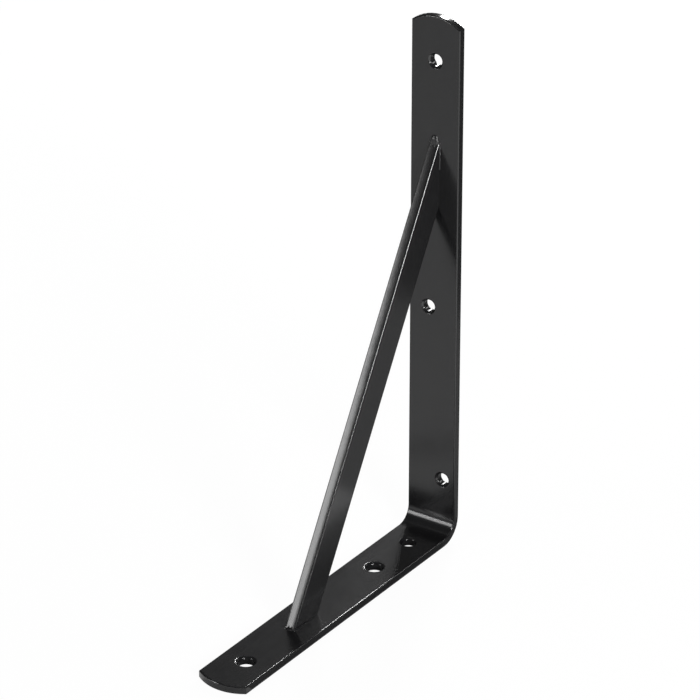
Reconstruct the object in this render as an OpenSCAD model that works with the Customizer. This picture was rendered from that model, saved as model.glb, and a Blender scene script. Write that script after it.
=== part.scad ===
// Reinforced angle bracket: a flat bar folded to a right angle, with a second
// flat bar set on edge as a brace and welded at both ends.
// The long leg stands up along Z, the short leg lies along X, and the bar's width runs along Y.
// The origin is at the middle of the short leg's underside, below the middle of the whole part.

/* [Bar] */
// Width of the flat bar
bar_w = 30; // [26:1:44]
// Thickness of the flat bar
bar_t = 4.5; // [3:0.5:6]
// Radius of the bar's rolled long edges
edge_r = 0.7; // [0.3:0.1:1.2]

/* [Legs] */
// Length of the standing leg, from the short leg's underside to its round end
long_leg = 305; // [285:1:400]
// Length of the lying leg, from the long leg's back to its round end
short_leg = 203; // [190:1:280]
// Inner radius of the fold
bend_r = 9; // [5:0.5:12]
// Radius of the arc at both ends of the bar
end_r = 25.5; // [24:0.5:60]

/* [Brace] */
// Width of the brace bar, seen from the side
brace_w = 19; // [14:0.5:22]
// Thickness of the brace bar, across the bracket
brace_t = 6; // [4:0.5:9]
// Distance from the long leg's back to the brace's toe on the short leg
brace_reach = 138.5; // [120:0.5:150]
// Height of the brace's upper toe above the short leg's underside
brace_rise = 234.5; // [220:0.5:245]

/* [Holes in the long leg] */
// Diameter of the screw holes
long_hole_d = 7; // [5:0.5:9]
// Distance of the top hole from the leg's end
top_hole_end = 25; // [20:0.5:34]
// Height of the middle hole
mid_hole_rise = 137.5; // [100:0.5:165]
// Sideways place of the middle hole
mid_hole_shift = -3; // [-6:0.5:6]
// Height of the low hole
low_hole_rise = 35; // [28:0.5:60]
// Sideways place of the low hole
low_hole_shift = 7; // [-7:0.5:7]

/* [Holes in the short leg] */
// Diameter of the tip and middle holes
short_hole_d = 9; // [6:0.5:10]
// Diameter of the inner hole
inner_hole_d = 8; // [5:0.5:10]
// Distance of the tip hole from the leg's end
tip_hole_end = 25.5; // [20:0.5:30]
// Distance of the middle hole from the long leg's back
mid_hole_reach = 59.5; // [50:0.5:80]
// Distance of the inner hole from the long leg's back
inner_hole_reach = 26.5; // [25:0.5:34]

/* [Hole rims] */
// Width of the sloped rim on the inner side of each hole
rim_w = 1; // [0.4:0.1:1.5]

/* [Welds] */
// Radius of the weld bead along the brace's sides
bead_r = 1.6; // [1.2:0.1:2.4]
// Distance between the bead's ripples
ripple = 1.7; // [1.2:0.1:2]
// Length of the upper weld down each side of the brace
upper_weld_l = 16; // [8:0.5:26]
// How far the upper weld runs past the brace's toe
upper_toe_l = 4.5; // [3:0.1:5]
// Length of the foot weld along each side of the brace
foot_weld_l = 12; // [6:0.5:16]
// How far the foot weld runs past the brace's toe
foot_toe_l = 2; // [1.6:0.1:4]

/* [Hidden] */
// Fineness of round faces, of the welds' balls and of the bars' rolled edges
$fn = 72;
ball_fn = 36;
edge_fn = 32;
// How far a cutting tool runs past the face it cuts
past = 1;
// How far the bead's middle line stands off the brace's side, and lies below the leg's face
bead_off = 0.4;
bead_sunk = 0.3;
// Radius of the lump of weld round a toe, how deep its centre lies below the leg's face, and
// the radius that it has on that face
toe_r = brace_t / 2 + 0.3;
toe_sunk = 1.2;
toe_face_r = sqrt(pow(toe_r, 2) - pow(toe_sunk, 2));
// Where both legs' faces meet the round of the fold
bend_end = bar_t + bend_r;
// Lean of the brace, measured from the short leg
brace_angle = atan2(brace_rise - bar_t, brace_reach - bar_t);
// Length of bar from which both mitred ends of the brace are cut
brace_blank_l = norm([brace_reach, brace_rise]) + 4 * brace_w;
steel = "#2b2b2d";
weld_steel = "#232325";

// A rectangle with round corners, centred across its width and standing on the X axis
module bar_section(w, t) {
    translate([-w / 2, edge_r]) square([w, t - 2 * edge_r]);
    translate([edge_r - w / 2, 0]) square([w - 2 * edge_r, t]);
    for (x = [edge_r - w / 2, w / 2 - edge_r], y = [edge_r, t - edge_r])
        translate([x, y]) circle(edge_r, $fn = edge_fn);
}

// A straight stretch of the flat bar along X
module flat_bar(from, to) {
    translate([from, 0, 0]) rotate([90, 0, 90]) linear_extrude(to - from) bar_section(bar_w, bar_t);
}

// The flat disc with rolled edges that gives a leg its arc end
module end_disc(reach) {
    translate([reach - end_r, 0, 0]) rotate_extrude() {
        square([end_r - edge_r, bar_t]);
        translate([0, edge_r]) square([end_r, bar_t - 2 * edge_r]);
        for (z = [edge_r, bar_t - edge_r])
            translate([end_r - edge_r, z]) circle(edge_r, $fn = edge_fn);
    }
}

// A leg lying along X, from the fold to its arc end
module leg(reach) {
    flat_bar(bend_end, reach - end_r);
    intersection() {
        flat_bar(reach - end_r, reach + past);
        end_disc(reach);
    }
}

// The quarter turn of bar between the two legs
module fold() {
    translate([bend_end, 0, bend_end]) rotate([90, 0, 0]) rotate([0, 0, 180]) rotate_extrude(angle = 90)
        translate([bend_end, 0]) rotate([0, 0, 90]) bar_section(bar_w, bar_t);
}

// Swaps the lying leg's place for the standing leg's
module stand_up() {
    multmatrix([[0, 0, 1, 0], [0, -1, 0, 0], [1, 0, 0, 0], [0, 0, 0, 1]]) children();
}

// A screw hole with a sloped rim on the bracket's inner side
module screw_hole(reach, shift, d) {
    translate([reach, shift, -past]) cylinder(h = bar_t + 2 * past, d = d);
    translate([reach, shift, bar_t - rim_w])
        cylinder(h = rim_w + past, r1 = d / 2, r2 = d / 2 + rim_w + past);
}

module long_leg_holes() {
    stand_up() {
        screw_hole(long_leg - top_hole_end, 0, long_hole_d);
        screw_hole(mid_hole_rise, -mid_hole_shift, long_hole_d);
        screw_hole(low_hole_rise, -low_hole_shift, long_hole_d);
    }
}

module short_leg_holes() {
    screw_hole(short_leg - tip_hole_end, 0, short_hole_d);
    screw_hole(mid_hole_reach, 0, short_hole_d);
    screw_hole(inner_hole_reach, 0, inner_hole_d);
}

// Moves a shape drawn from the outer corner into the part's own frame
module placed() {
    translate([-short_leg / 2, 0, 0]) children();
}

module angle_bar() {
    color(steel) placed() difference() {
        union() {
            leg(short_leg);
            stand_up() leg(long_leg);
            fold();
        }
        long_leg_holes();
        short_leg_holes();
    }
}

// Places a shape drawn along Z so that its plane x = 0 becomes the brace's outer face
module along_brace() {
    translate([brace_reach, 0, bar_t]) rotate([0, brace_angle - 90, 0])
        translate([0, 0, -2 * brace_w]) children();
}

// The space between the legs' inner faces
module between_legs() {
    translate([bar_t, -bar_w, bar_t]) cube([short_leg, 2 * bar_w, long_leg]);
}

module brace_bar() {
    color(steel) placed() intersection() {
        along_brace() linear_extrude(brace_blank_l)
            translate([-brace_w, 0]) rotate([0, 0, -90]) bar_section(brace_t, brace_w);
        between_legs();
    }
}

// The brace with sharp edges, which the welds are cut back to
module brace_space() {
    along_brace() translate([-brace_w, -brace_t / 2, 0]) cube([brace_w, brace_t, brace_blank_l]);
}

// A row of balls along each side of the brace and a larger lump round its toe.
// The toe points along +X and the leg's face is the plane z = 0.
module bead_chain(side_l, toe_l) {
    side_n = ceil(side_l / ripple);
    for (side = [-1, 1], i = [0 : side_n])
        translate([-i * side_l / side_n, side * (brace_t / 2 + bead_off), -bead_sunk])
            sphere(bead_r, $fn = ball_fn);
    translate([toe_l - toe_face_r, 0, -toe_sunk]) sphere(toe_r, $fn = ball_fn);
}

// A weld cut back to the legs' faces and the brace's sides
module seated_weld() {
    color(weld_steel) placed() difference() {
        intersection() {
            children();
            between_legs();
        }
        brace_space();
    }
}

module foot_weld() {
    seated_weld() translate([brace_reach, 0, bar_t]) bead_chain(foot_weld_l, foot_toe_l);
}

module upper_weld() {
    seated_weld() translate([bar_t, 0, brace_rise]) stand_up() bead_chain(upper_weld_l, upper_toe_l);
}

angle_bar();
brace_bar();
upper_weld();
foot_weld();
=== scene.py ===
"""A reinforced angle bracket in black stoved paint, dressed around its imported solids."""

import logging
import math
from dataclasses import dataclass, field
from enum import Enum

import bmesh
import bpy
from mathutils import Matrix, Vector, noise

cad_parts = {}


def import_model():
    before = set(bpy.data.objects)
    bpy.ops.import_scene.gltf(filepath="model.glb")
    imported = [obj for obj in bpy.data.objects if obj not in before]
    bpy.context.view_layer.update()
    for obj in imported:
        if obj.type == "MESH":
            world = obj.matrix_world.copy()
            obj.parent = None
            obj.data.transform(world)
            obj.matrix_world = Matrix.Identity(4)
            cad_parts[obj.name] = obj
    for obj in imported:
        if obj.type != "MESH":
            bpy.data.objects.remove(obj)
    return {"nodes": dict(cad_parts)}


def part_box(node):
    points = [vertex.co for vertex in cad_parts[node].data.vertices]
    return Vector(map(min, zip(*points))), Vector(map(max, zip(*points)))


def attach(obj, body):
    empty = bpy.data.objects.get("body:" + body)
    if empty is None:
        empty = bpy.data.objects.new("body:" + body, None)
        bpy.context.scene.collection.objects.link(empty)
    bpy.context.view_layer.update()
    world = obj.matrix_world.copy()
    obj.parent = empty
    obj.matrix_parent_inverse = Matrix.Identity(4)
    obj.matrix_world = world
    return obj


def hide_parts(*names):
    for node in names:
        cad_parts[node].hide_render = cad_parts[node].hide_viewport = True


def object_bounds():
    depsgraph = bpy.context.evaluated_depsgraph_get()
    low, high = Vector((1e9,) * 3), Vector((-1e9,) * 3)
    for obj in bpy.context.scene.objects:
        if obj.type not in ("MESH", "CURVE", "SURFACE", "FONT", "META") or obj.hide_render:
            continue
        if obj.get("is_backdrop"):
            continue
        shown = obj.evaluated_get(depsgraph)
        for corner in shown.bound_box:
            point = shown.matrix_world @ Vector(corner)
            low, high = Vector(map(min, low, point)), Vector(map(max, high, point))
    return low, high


LOG = logging.getLogger("bracket")
MM = 0.001
BODY = "root"
WHITE = (1.0, 1.0, 1.0, 1.0)
# The mix node repeats its socket names for each kind of value, so these are its socket numbers
MIX_VECTOR_A, MIX_VECTOR_B, MIX_VECTOR_OUT = 4, 5, 1
MIX_COLOUR_A, MIX_COLOUR_B, MIX_COLOUR_OUT = 6, 7, 2


def linear(hex_code: str) -> tuple[float, float, float, float]:
    """Turns an sRGB hex colour into linear RGBA.

    Args:
        hex_code: six hex digits with a leading hash.

    Returns:
        Linear red, green, blue and an alpha of 1.
    """
    parts = [int(hex_code[i : i + 2], 16) / 255 for i in (1, 3, 5)]
    lin = [c / 12.92 if c <= 0.04045 else ((c + 0.055) / 1.055) ** 2.4 for c in parts]
    return (lin[0], lin[1], lin[2], 1.0)


class Grain(Enum):
    """How the fine lines of a paint lie: along a rolled bar, or in no direction."""

    LENGTHWISE = "lengthwise"
    NONE = "none"


def add(
    tree: bpy.types.NodeTree,
    kind: str,
    settings: dict | None = None,
    values: dict | None = None,
    links: dict | None = None,
) -> bpy.types.Node:
    """Adds one shader node with its settings, socket values and incoming links.

    Args:
        tree: the node tree that gets the node.
        kind: the node's Blender type name.
        settings: attributes of the node.
        values: default values of its input sockets, by name or number.
        links: output sockets to link to its inputs, by input name or number.

    Returns:
        The new node.
    """
    node = tree.nodes.new(kind)
    for key, value in (settings or {}).items():
        setattr(node, key, value)
    for key, value in (values or {}).items():
        node.inputs[key].default_value = value
    for key, socket in (links or {}).items():
        tree.links.new(socket, node.inputs[key])
    return node


@dataclass(frozen=True)
class StovedPaint:
    """Black stoved enamel over rolled steel bar.

    The eye gets a near-black body, a soft wide gloss from the paint's slight ripple, and faint
    lines along the bar where the rolling shows through.
    """

    name: str
    colour: str
    pale_colour: str
    roughness: float
    grain: Grain
    line_pitch: float
    line_depth: float
    ripple_pitch: float
    ripple_depth: float
    speck_pitch: float
    speck_depth: float
    # How much of the tone comes from the fine lines, where the rest comes from the slow ripple
    line_share: float = 0.6
    # The roughness in the darkest and the palest tone, as shares of its middle value
    rough_span: tuple[float, float] = (0.85, 1.2)
    # Lines run many times longer than they are wide
    line_stretch: float = 0.01
    # Half the bar's thickness and how far its narrow faces bulge, 0 where they are flat
    crown_half: float = 3 * MM
    crown_depth: float = 0.0
    # How far the paint rounds the holes' rims, and how far from the bar's middle line they reach
    rim_radius: float = 0.0
    rim_reach: float = 13 * MM
    rim_samples: int = 8
    ior: float = 1.5

    def build(self) -> bpy.types.Material:
        """Makes the node material.

        Returns:
            The material, ready to be put in a slot.
        """
        mat = bpy.data.materials.new(self.name)
        mat.use_nodes = True
        tree = mat.node_tree
        tree.nodes.clear()
        place = add(tree, "ShaderNodeTexCoord").outputs["Object"]
        lines = self._lines(tree, place)
        cloud = add(
            tree,
            "ShaderNodeTexNoise",
            values={"Scale": 1 / self.ripple_pitch, "Detail": 2.0, "Roughness": 0.5},
            links={"Vector": place},
        ).outputs["Fac"]
        speck = add(
            tree,
            "ShaderNodeTexNoise",
            values={"Scale": 1 / self.speck_pitch, "Detail": 3.0, "Roughness": 0.6},
            links={"Vector": place},
        ).outputs["Fac"]
        slow_tone = add(
            tree,
            "ShaderNodeMath",
            {"operation": "MULTIPLY"},
            {1: 1 - self.line_share},
            {0: cloud},
        ).outputs[0]
        tone = add(
            tree,
            "ShaderNodeMath",
            {"operation": "MULTIPLY_ADD"},
            {1: self.line_share},
            {0: lines, 2: slow_tone},
        ).outputs[0]
        colour = add(
            tree,
            "ShaderNodeMix",
            {"data_type": "RGBA"},
            {MIX_COLOUR_A: linear(self.colour), MIX_COLOUR_B: linear(self.pale_colour)},
            {0: tone},
        ).outputs[MIX_COLOUR_OUT]
        smoothest, roughest = (share * self.roughness for share in self.rough_span)
        rough = add(
            tree,
            "ShaderNodeMapRange",
            values={"To Min": smoothest, "To Max": roughest},
            links={"Value": tone},
        ).outputs[0]
        reliefs = [(self.line_depth, lines), (self.ripple_depth, cloud), (self.speck_depth, speck)]
        if self.crown_depth:
            reliefs.append((self.crown_depth, self._crown(tree, place)))
        normal = self._rounded_rims(tree, place)
        for depth, height in reliefs:
            normal = add(
                tree,
                "ShaderNodeBump",
                values={"Strength": 1.0, "Distance": depth},
                links={"Height": height, "Normal": normal},
            ).outputs[0]
        shader = add(
            tree,
            "ShaderNodeBsdfPrincipled",
            values={"Metallic": 0.0, "IOR": self.ior},
            links={"Base Color": colour, "Roughness": rough, "Normal": normal},
        )
        add(tree, "ShaderNodeOutputMaterial", links={"Surface": shader.outputs[0]})
        return mat

    def _rounded_rims(self, tree: bpy.types.NodeTree, place: bpy.types.NodeSocket) -> bpy.types.NodeSocket:
        """Rounds the shading of the punched holes' rims and leaves the rolled edges as they are.

        Args:
            tree: the material's node tree.
            place: the object coordinates.

        Returns:
            The socket that gives the normal.
        """
        plain = add(tree, "ShaderNodeNewGeometry").outputs["Normal"]
        if not self.rim_radius:
            return plain
        rounded = add(
            tree,
            "ShaderNodeBevel",
            {"samples": self.rim_samples},
            {"Radius": self.rim_radius},
        ).outputs[0]
        across = add(tree, "ShaderNodeSeparateXYZ", links={0: place}).outputs[1]
        off_middle = add(tree, "ShaderNodeMath", {"operation": "ABSOLUTE"}, links={0: across}).outputs[0]
        near_hole = add(
            tree,
            "ShaderNodeMath",
            {"operation": "LESS_THAN"},
            {1: self.rim_reach},
            {0: off_middle},
        ).outputs[0]
        return add(
            tree,
            "ShaderNodeMix",
            {"data_type": "VECTOR"},
            links={0: near_hole, MIX_VECTOR_A: plain, MIX_VECTOR_B: rounded},
        ).outputs[MIX_VECTOR_OUT]

    def _crown(self, tree: bpy.types.NodeTree, place: bpy.types.NodeSocket) -> bpy.types.NodeSocket:
        """Makes the bulge of a rolled bar's narrow faces, which draws their gloss to one side.

        Args:
            tree: the material's node tree.
            place: the object coordinates.

        Returns:
            The socket that gives the height, 0 in the middle and -1 at the edges.
        """
        across = add(tree, "ShaderNodeSeparateXYZ", links={0: place}).outputs[1]
        share = add(
            tree,
            "ShaderNodeMath",
            {"operation": "DIVIDE"},
            {1: self.crown_half},
            {0: across},
        ).outputs[0]
        square = add(
            tree,
            "ShaderNodeMath",
            {"operation": "MULTIPLY"},
            links={0: share, 1: share},
        ).outputs[0]
        return add(tree, "ShaderNodeMath", {"operation": "MULTIPLY"}, {1: -1.0}, {0: square}).outputs[0]

    def _lines(self, tree: bpy.types.NodeTree, place: bpy.types.NodeSocket) -> bpy.types.NodeSocket:
        """Makes the rolling lines: noise drawn out along the bar.

        Args:
            tree: the material's node tree.
            place: the object coordinates.

        Returns:
            The socket that gives the lines from 0 to 1.
        """
        across = 1 / self.line_pitch
        # The width of both bars runs along Y, so the lines change along Y alone
        along = across * self.line_stretch
        stretch = (across, across, across) if self.grain is Grain.NONE else (along, across, along)
        scaled = add(
            tree,
            "ShaderNodeVectorMath",
            {"operation": "MULTIPLY"},
            {1: stretch},
            {0: place},
        ).outputs[0]
        return add(
            tree,
            "ShaderNodeTexNoise",
            values={"Scale": 1.0, "Detail": 3.0, "Roughness": 0.6},
            links={"Vector": scaled},
        ).outputs["Fac"]


# Paint over hot rolled bar: satin body with a faint lengthwise grain, 0.9 mm apart
BAR_PAINT = StovedPaint(
    name="stoved_black_paint_on_rolled_bar",
    colour="#080809",
    pale_colour="#1a1a1b",
    roughness=0.18,
    grain=Grain.LENGTHWISE,
    line_pitch=0.9 * MM,
    line_depth=0.004 * MM,
    ripple_pitch=9 * MM,
    ripple_depth=0.03 * MM,
    speck_pitch=0.5 * MM,
    speck_depth=0.004 * MM,
    rim_radius=0.8 * MM,
)

# The same paint on the brace, a touch glossier, over narrow faces with a slight crown
BRACE_PAINT = StovedPaint(
    name="stoved_black_paint_on_brace_bar",
    colour="#080809",
    pale_colour="#1a1a1b",
    roughness=0.17,
    grain=Grain.LENGTHWISE,
    line_pitch=0.7 * MM,
    line_depth=0.006 * MM,
    ripple_pitch=7 * MM,
    ripple_depth=0.035 * MM,
    speck_pitch=0.5 * MM,
    speck_depth=0.006 * MM,
    crown_depth=0.17 * MM,
)

# Thick paint over a weld bead: the same black, lumpier and a little duller
WELD_PAINT = StovedPaint(
    name="stoved_black_paint_on_weld_bead",
    colour="#0a0a0b",
    pale_colour="#131314",
    roughness=0.32,
    grain=Grain.NONE,
    line_pitch=1.4 * MM,
    line_depth=0.05 * MM,
    ripple_pitch=3 * MM,
    ripple_depth=0.08 * MM,
    speck_pitch=0.4 * MM,
    speck_depth=0.01 * MM,
)


@dataclass
class PaintedBars:
    """The folded bar and the brace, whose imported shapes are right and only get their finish."""

    finishes: dict[str, StovedPaint] = field(
        default_factory=lambda: {"angle_bar": BAR_PAINT, "brace_bar": BRACE_PAINT}
    )

    def dress(self, nodes: dict[str, bpy.types.Object]) -> None:
        """Puts the paint in the nodes' slots.

        Args:
            nodes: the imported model's nodes by name.
        """
        for name, finish in self.finishes.items():
            node = nodes[name]
            node.data.materials.clear()
            node.data.materials.append(finish.build())
            LOG.info("%s: %s", name, finish.name)


@dataclass
class WeldBead:
    """One weld: a smooth lump round the brace's toe and an uneven bead along both its sides.

    Places are given from the brace's toe: along the leg under the brace, and out from the leg.
    """

    node: str
    toe: Vector
    along: Vector
    out: Vector
    side_length: float
    # Places of the lump's balls in mm as (along, out, sideways), which are mirrored across the middle
    lump: tuple[tuple[float, float, float], ...]
    lump_radius: float = 2.1 * MM
    finish: StovedPaint = WELD_PAINT
    bead_radius: float = 0.65 * MM
    bead_pitch: float = 0.6 * MM
    bead_offset: float = 3.1 * MM
    bead_sunk: float = 0.15 * MM
    uneven: float = 0.3
    # Steps through the noise that make the side beads uneven, from ball to ball and from side to side
    wobble_step: float = 0.7
    wobble_side: float = 3.1
    ball_fineness: int = 3
    voxel: float = 0.16 * MM
    smooth_passes: int = 12
    dent_pitch: float = 1.6 * MM
    dent_depth: float = 0.1 * MM

    def build(self) -> bpy.types.Object:
        """Makes the weld from balls that are joined, smoothed and dented.

        Returns:
            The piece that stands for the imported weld.
        """
        shape = bmesh.new()
        for place, radius in self._balls():
            ball = bmesh.ops.create_icosphere(shape, subdivisions=self.ball_fineness, radius=radius)
            bmesh.ops.translate(shape, verts=ball["verts"], vec=place)
        rough = bpy.data.meshes.new(self.node + "_balls")
        shape.to_mesh(rough)
        shape.free()
        maker = bpy.data.objects.new(self.node + "_balls", rough)
        bpy.context.scene.collection.objects.link(maker)
        join = maker.modifiers.new("join", "REMESH")
        join.mode = "VOXEL"
        join.voxel_size = self.voxel
        soften = maker.modifiers.new("soften", "SMOOTH")
        soften.iterations = self.smooth_passes
        graph = bpy.context.evaluated_depsgraph_get()
        mesh = bpy.data.meshes.new_from_object(maker.evaluated_get(graph))
        bpy.data.objects.remove(maker)
        # All places are worked out before the first one moves, because a move changes the normals
        dented = [self._dented(vert) for vert in mesh.vertices]
        for vert, place in zip(mesh.vertices, dented):
            vert.co = place
        mesh.shade_smooth()
        piece = bpy.data.objects.new(self.node + "_bead", mesh)
        bpy.context.scene.collection.objects.link(piece)
        mesh.materials.clear()
        mesh.materials.append(self.finish.build())
        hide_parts(self.node)
        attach(piece, BODY)
        LOG.info("%s: %d faces", piece.name, len(mesh.polygons))
        return piece

    def _dented(self, vert: bpy.types.MeshVertex) -> Vector:
        """Moves a vertex inwards by a smooth random part of the dents' depth.

        Args:
            vert: a vertex of the smoothed weld.

        Returns:
            Its dented place.
        """
        share = (1 + noise.noise(vert.co / self.dent_pitch)) / 2
        return vert.co - vert.normal * (self.dent_depth * share)

    def _balls(self) -> list[tuple[Vector, float]]:
        """Places the balls of the lump and of both side beads.

        Returns:
            Each ball's middle and radius.
        """
        balls = []
        steps = int(self.side_length / self.bead_pitch)
        for side in (-1, 1):
            for along, out, sideways in self.lump:
                shift = self.along * along + self.out * out + Vector((0, side * sideways, 0))
                balls.append((self.toe + shift * MM, self.lump_radius))
            for i in range(steps):
                seed = Vector((i * self.wobble_step, side * self.wobble_side, self.side_length / MM))
                wobble = noise.noise(seed)
                place = self.toe + self.along * (i * self.bead_pitch) - self.out * self.bead_sunk
                place = place + Vector((0, side * (self.bead_offset + wobble * self.uneven * MM), 0))
                balls.append((place, self.bead_radius * (1 + self.uneven * wobble)))
        return balls


def welds() -> tuple[WeldBead, WeldBead]:
    """Places the two welds at the brace's toes, which are its outer corners on the legs.

    Returns:
        The weld at the brace's upper end and the one at its foot.
    """
    upper = WeldBead(
        node="upper_weld",
        toe=Vector((-97.0, 0, 234.5)) * MM,
        along=Vector((0, 0, -1)),
        out=Vector((1, 0, 0)),
        side_length=16 * MM,
        lump=(
            (3.5, -0.3, 0.9),
            (2.4, -0.8, 0.95),
            (1.5, -1.0, 0.95),
            (0.6, -0.9, 0.9),
            (-0.4, -0.75, 0.7),
            (-1.3, -0.8, 0.45),
            (-2.2, -1.1, 0.1),
        ),
    )
    foot = WeldBead(
        node="foot_weld",
        toe=Vector((37.0, 0, 4.5)) * MM,
        along=Vector((-1, 0, 0)),
        out=Vector((0, 0, 1)),
        side_length=12 * MM,
        lump=(
            (2.4, 0.2, 0.9),
            (2.0, -0.6, 0.9),
            (1.7, -1.0, 0.9),
            (1.2, -1.1, 0.85),
            (0.6, -1.2, 0.7),
            (0.0, -1.3, 0.5),
        ),
    )
    return upper, foot


@dataclass
class PhotoCamera:
    """The camera that the photograph was taken with, fitted to the bracket's edges.

    The view is given by the direction from the bracket to the camera, the distance of the outer
    corner of the fold along that direction, and that corner's offset in the picture's plane.
    """

    azimuth: float = math.radians(34.477)
    elevation: float = math.radians(27.069)
    distance: float = 2.277
    offset_right: float = 0.046772
    offset_up: float = -0.098254
    focal_px: float = 4151.0
    image_px: float = 700.0
    sensor_mm: float = 36.0
    clip_start: float = 0.05
    clip_end: float = 50.0

    def build(self, corner: Vector) -> bpy.types.Object:
        """Makes the camera and makes it the scene's own.

        Args:
            corner: the outer corner of the fold, below the middle of the long leg's back.

        Returns:
            The camera object.
        """
        ca, sa = math.cos(self.azimuth), math.sin(self.azimuth)
        ce, se = math.cos(self.elevation), math.sin(self.elevation)
        back = Vector((ca * ce, sa * ce, se))
        right = Vector((-sa, ca, 0.0))
        up = back.cross(right)
        place = corner + back * self.distance - right * self.offset_right - up * self.offset_up
        data = bpy.data.cameras.new("photo_camera")
        data.sensor_width = self.sensor_mm
        data.lens = self.sensor_mm * self.focal_px / self.image_px
        data.clip_start = self.clip_start
        data.clip_end = self.clip_end
        camera = bpy.data.objects.new("photo_camera", data)
        bpy.context.scene.collection.objects.link(camera)
        rotation = camera.matrix_world.to_3x3()
        rotation.col[0], rotation.col[1], rotation.col[2] = right, up, back
        camera.matrix_world = rotation.to_4x4()
        camera.location = place
        bpy.context.scene.camera = camera
        LOG.info("camera at %s", tuple(round(c, 3) for c in place))
        return camera


@dataclass(frozen=True)
class SoftBox:
    """A soft rectangular studio lamp that points at the middle of the bracket."""

    name: str
    place: tuple[float, float, float]
    size: tuple[float, float]
    # Brightness of its face, where the white backdrop is 1
    glow: float

    def build(self, target: Vector) -> bpy.types.Object:
        """Makes the lamp.

        Args:
            target: the point that the lamp faces.

        Returns:
            The lamp object.
        """
        data = bpy.data.lights.new(self.name, "AREA")
        data.shape = "RECTANGLE"
        data.size, data.size_y = self.size
        data.energy = self.glow * math.pi * self.size[0] * self.size[1]
        lamp = bpy.data.objects.new(self.name, data)
        lamp.location = self.place
        lamp.rotation_euler = (target - Vector(self.place)).to_track_quat("-Z", "Y").to_euler()
        bpy.context.scene.collection.objects.link(lamp)
        return lamp


@dataclass(frozen=True)
class Card:
    """A flat card lying on the floor that only mirror rays see, which tones the paint's gloss."""

    name: str
    colour: str
    x_span: tuple[float, float]
    y_span: tuple[float, float]
    # Brightness of a lit card, 0 for one that only takes the studio's light
    glow: float = 0.0
    # Above the floor and below the bracket
    height: float = -0.0001

    def build(self) -> bpy.types.Object:
        """Makes the card.

        Returns:
            The card object.
        """
        (x0, x1), (y0, y1) = self.x_span, self.y_span
        mesh = bpy.data.meshes.new(self.name)
        rim = [(x0, y0, self.height), (x1, y0, self.height), (x1, y1, self.height), (x0, y1, self.height)]
        mesh.from_pydata(rim, [], [(0, 1, 2, 3)])
        card = bpy.data.objects.new(self.name, mesh)
        bpy.context.scene.collection.objects.link(card)
        mat = bpy.data.materials.new(self.name)
        mat.use_nodes = True
        mat.node_tree.nodes.clear()
        if self.glow:
            face = add(
                mat.node_tree,
                "ShaderNodeEmission",
                values={"Color": linear(self.colour), "Strength": self.glow},
            )
        else:
            face = add(mat.node_tree, "ShaderNodeBsdfDiffuse", values={"Color": linear(self.colour)})
        add(mat.node_tree, "ShaderNodeOutputMaterial", links={0: face.outputs[0]})
        mesh.materials.append(mat)
        card.visible_camera = False
        card.visible_diffuse = False
        card.visible_shadow = False
        card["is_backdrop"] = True
        return card


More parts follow.
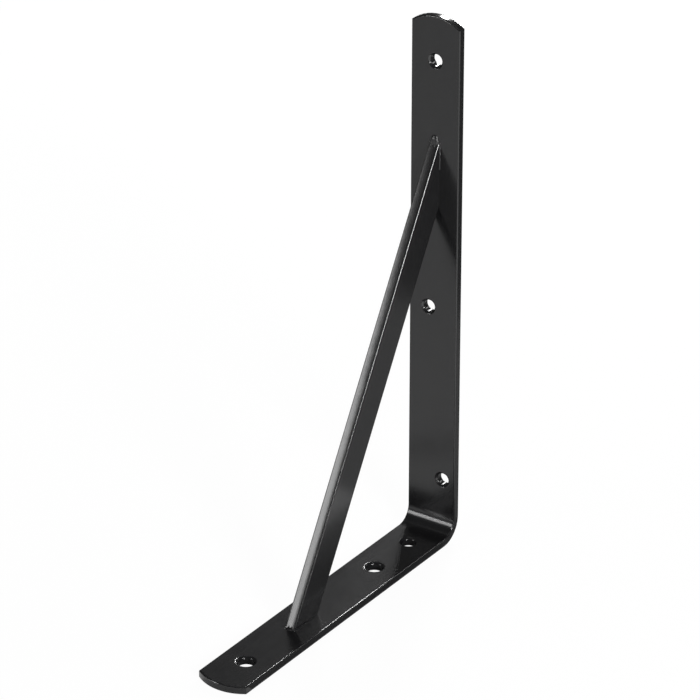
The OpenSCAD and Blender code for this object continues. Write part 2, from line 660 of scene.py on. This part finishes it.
@dataclass
class Studio:
    """A floor and a world that the camera sees as white, soft lamps, and cards that tone the gloss."""

    floor_half: float = 3.0
    # Just below the bracket, so that the two faces don't flicker
    floor_drop: float = 0.0002
    world_level: float = 0.08
    paper_colour: str = "#e6e6e6"
    # How white the camera sees the floor, where the rest lets the bracket's shadow show
    paper_white: float = 0.96
    lamps: tuple[SoftBox, ...] = (
        # Lights the brace's outer face, and its upper edge ends the gloss half way up
        SoftBox("key_softbox", (1.84, -1.54, 1.0), (1.15, 0.4), 9.5),
        # The bare tube below it, which makes the narrow white line along the fold
        SoftBox("key_tube", (2.0, -1.36, 0.6), (0.85, 0.1), 26.0),
        # Draws the thin light along the brace's near edge
        SoftBox("right_softbox", (0.82, 1.54, 0.76), (0.42, 0.42), 72.0),
        # Draws the thin light along the short leg's near edge, which the long leg's shadow cuts off
        SoftBox("back_softbox", (-1.31, -0.55, 1.155), (0.21, 0.21), 94.0),
        # These two catch the far side of the holes' rims
        SoftBox("back_right_lamp", (-1.25, 0.72, 0.95), (0.2, 0.2), 11.0),
        SoftBox("rim_lamp", (-1.46, -0.39, 0.52), (0.3, 0.3), 55.0),
        SoftBox("overhead_softbox", (0.1, -0.2, 2.0), (1.2, 1.2), 0.6),
    )
    cards: tuple[Card, ...] = (
        # Painted shade: a grey card that stands in for the bracket's shadow on the floor beside the short
        # leg, as the leg's side faces reflect it
        Card("painted_shade_card_beside_the_foot", "#707070", (-0.12, 0.09), (0.016, 0.06)),
        Card("grey_card_behind", "#949494", (-0.33, -0.11), (-0.01, 1.2)),
        Card("dark_card_behind", "#505050", (-1.2, -0.33), (-0.01, 1.2)),
        Card("black_card_left", "#101010", (-1.2, -0.06), (-1.2, -0.02)),
        Card("light_table_right", "#ffffff", (-0.08, 0.6), (0.07, 0.8), glow=1.7),
    )

    def build(self, target: Vector) -> None:
        """Makes the world, the floor, the lamps and the cards.

        Args:
            target: the point that the lamps face.
        """
        self._world()
        self._floor()
        for lamp in self.lamps:
            lamp.build(target)
        for card in self.cards:
            card.build()

    def _world(self) -> None:
        """Makes a dim world that the camera sees as white."""
        world = bpy.data.worlds.new("studio_world")
        bpy.context.scene.world = world
        world.use_nodes = True
        tree = world.node_tree
        tree.nodes.clear()
        dim = add(
            tree,
            "ShaderNodeBackground",
            values={"Color": WHITE, "Strength": self.world_level},
        )
        white = add(tree, "ShaderNodeBackground", values={"Color": WHITE, "Strength": 1.0})
        path = add(tree, "ShaderNodeLightPath")
        mix = add(
            tree,
            "ShaderNodeMixShader",
            links={0: path.outputs["Is Camera Ray"], 1: dim.outputs[0], 2: white.outputs[0]},
        )
        add(tree, "ShaderNodeOutputWorld", links={0: mix.outputs[0]})

    def _floor(self) -> None:
        """Makes the floor, white to the camera, with the bracket's soft shadow kept on it."""
        mesh = bpy.data.meshes.new("floor")
        shape = bmesh.new()
        bmesh.ops.create_grid(shape, x_segments=1, y_segments=1, size=self.floor_half)
        shape.to_mesh(mesh)
        shape.free()
        floor = bpy.data.objects.new("floor", mesh)
        floor.location = (0.0, 0.0, -self.floor_drop)
        bpy.context.scene.collection.objects.link(floor)
        mat = bpy.data.materials.new("white_paper_floor")
        mat.use_nodes = True
        tree = mat.node_tree
        tree.nodes.clear()
        paper = add(tree, "ShaderNodeBsdfDiffuse", values={"Color": linear(self.paper_colour)})
        glow = add(tree, "ShaderNodeEmission", values={"Color": WHITE, "Strength": 1.0})
        path = add(tree, "ShaderNodeLightPath")
        seen = add(
            tree,
            "ShaderNodeMath",
            {"operation": "MULTIPLY"},
            {1: self.paper_white},
            {0: path.outputs["Is Camera Ray"]},
        )
        mix = add(
            tree,
            "ShaderNodeMixShader",
            links={0: seen.outputs[0], 1: paper.outputs[0], 2: glow.outputs[0]},
        )
        add(tree, "ShaderNodeOutputMaterial", links={0: mix.outputs[0]})
        mesh.materials.append(mat)
        floor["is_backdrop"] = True


def main() -> None:
    """Builds the bracket, the studio and the camera in order."""
    logging.basicConfig(level=logging.INFO)
    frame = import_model()
    cad_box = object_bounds()
    nodes = frame["nodes"]
    low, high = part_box("angle_bar")
    corner = Vector((low.x, (low.y + high.y) / 2, low.z))
    PhotoCamera().build(corner)
    PaintedBars().dress(nodes)
    for weld in welds():
        weld.build()
    Studio().build((Vector(cad_box[0]) + Vector(cad_box[1])) / 2)
    view = bpy.context.scene.view_settings
    view.view_transform = "Standard"


if __name__ == "__main__":
    main()
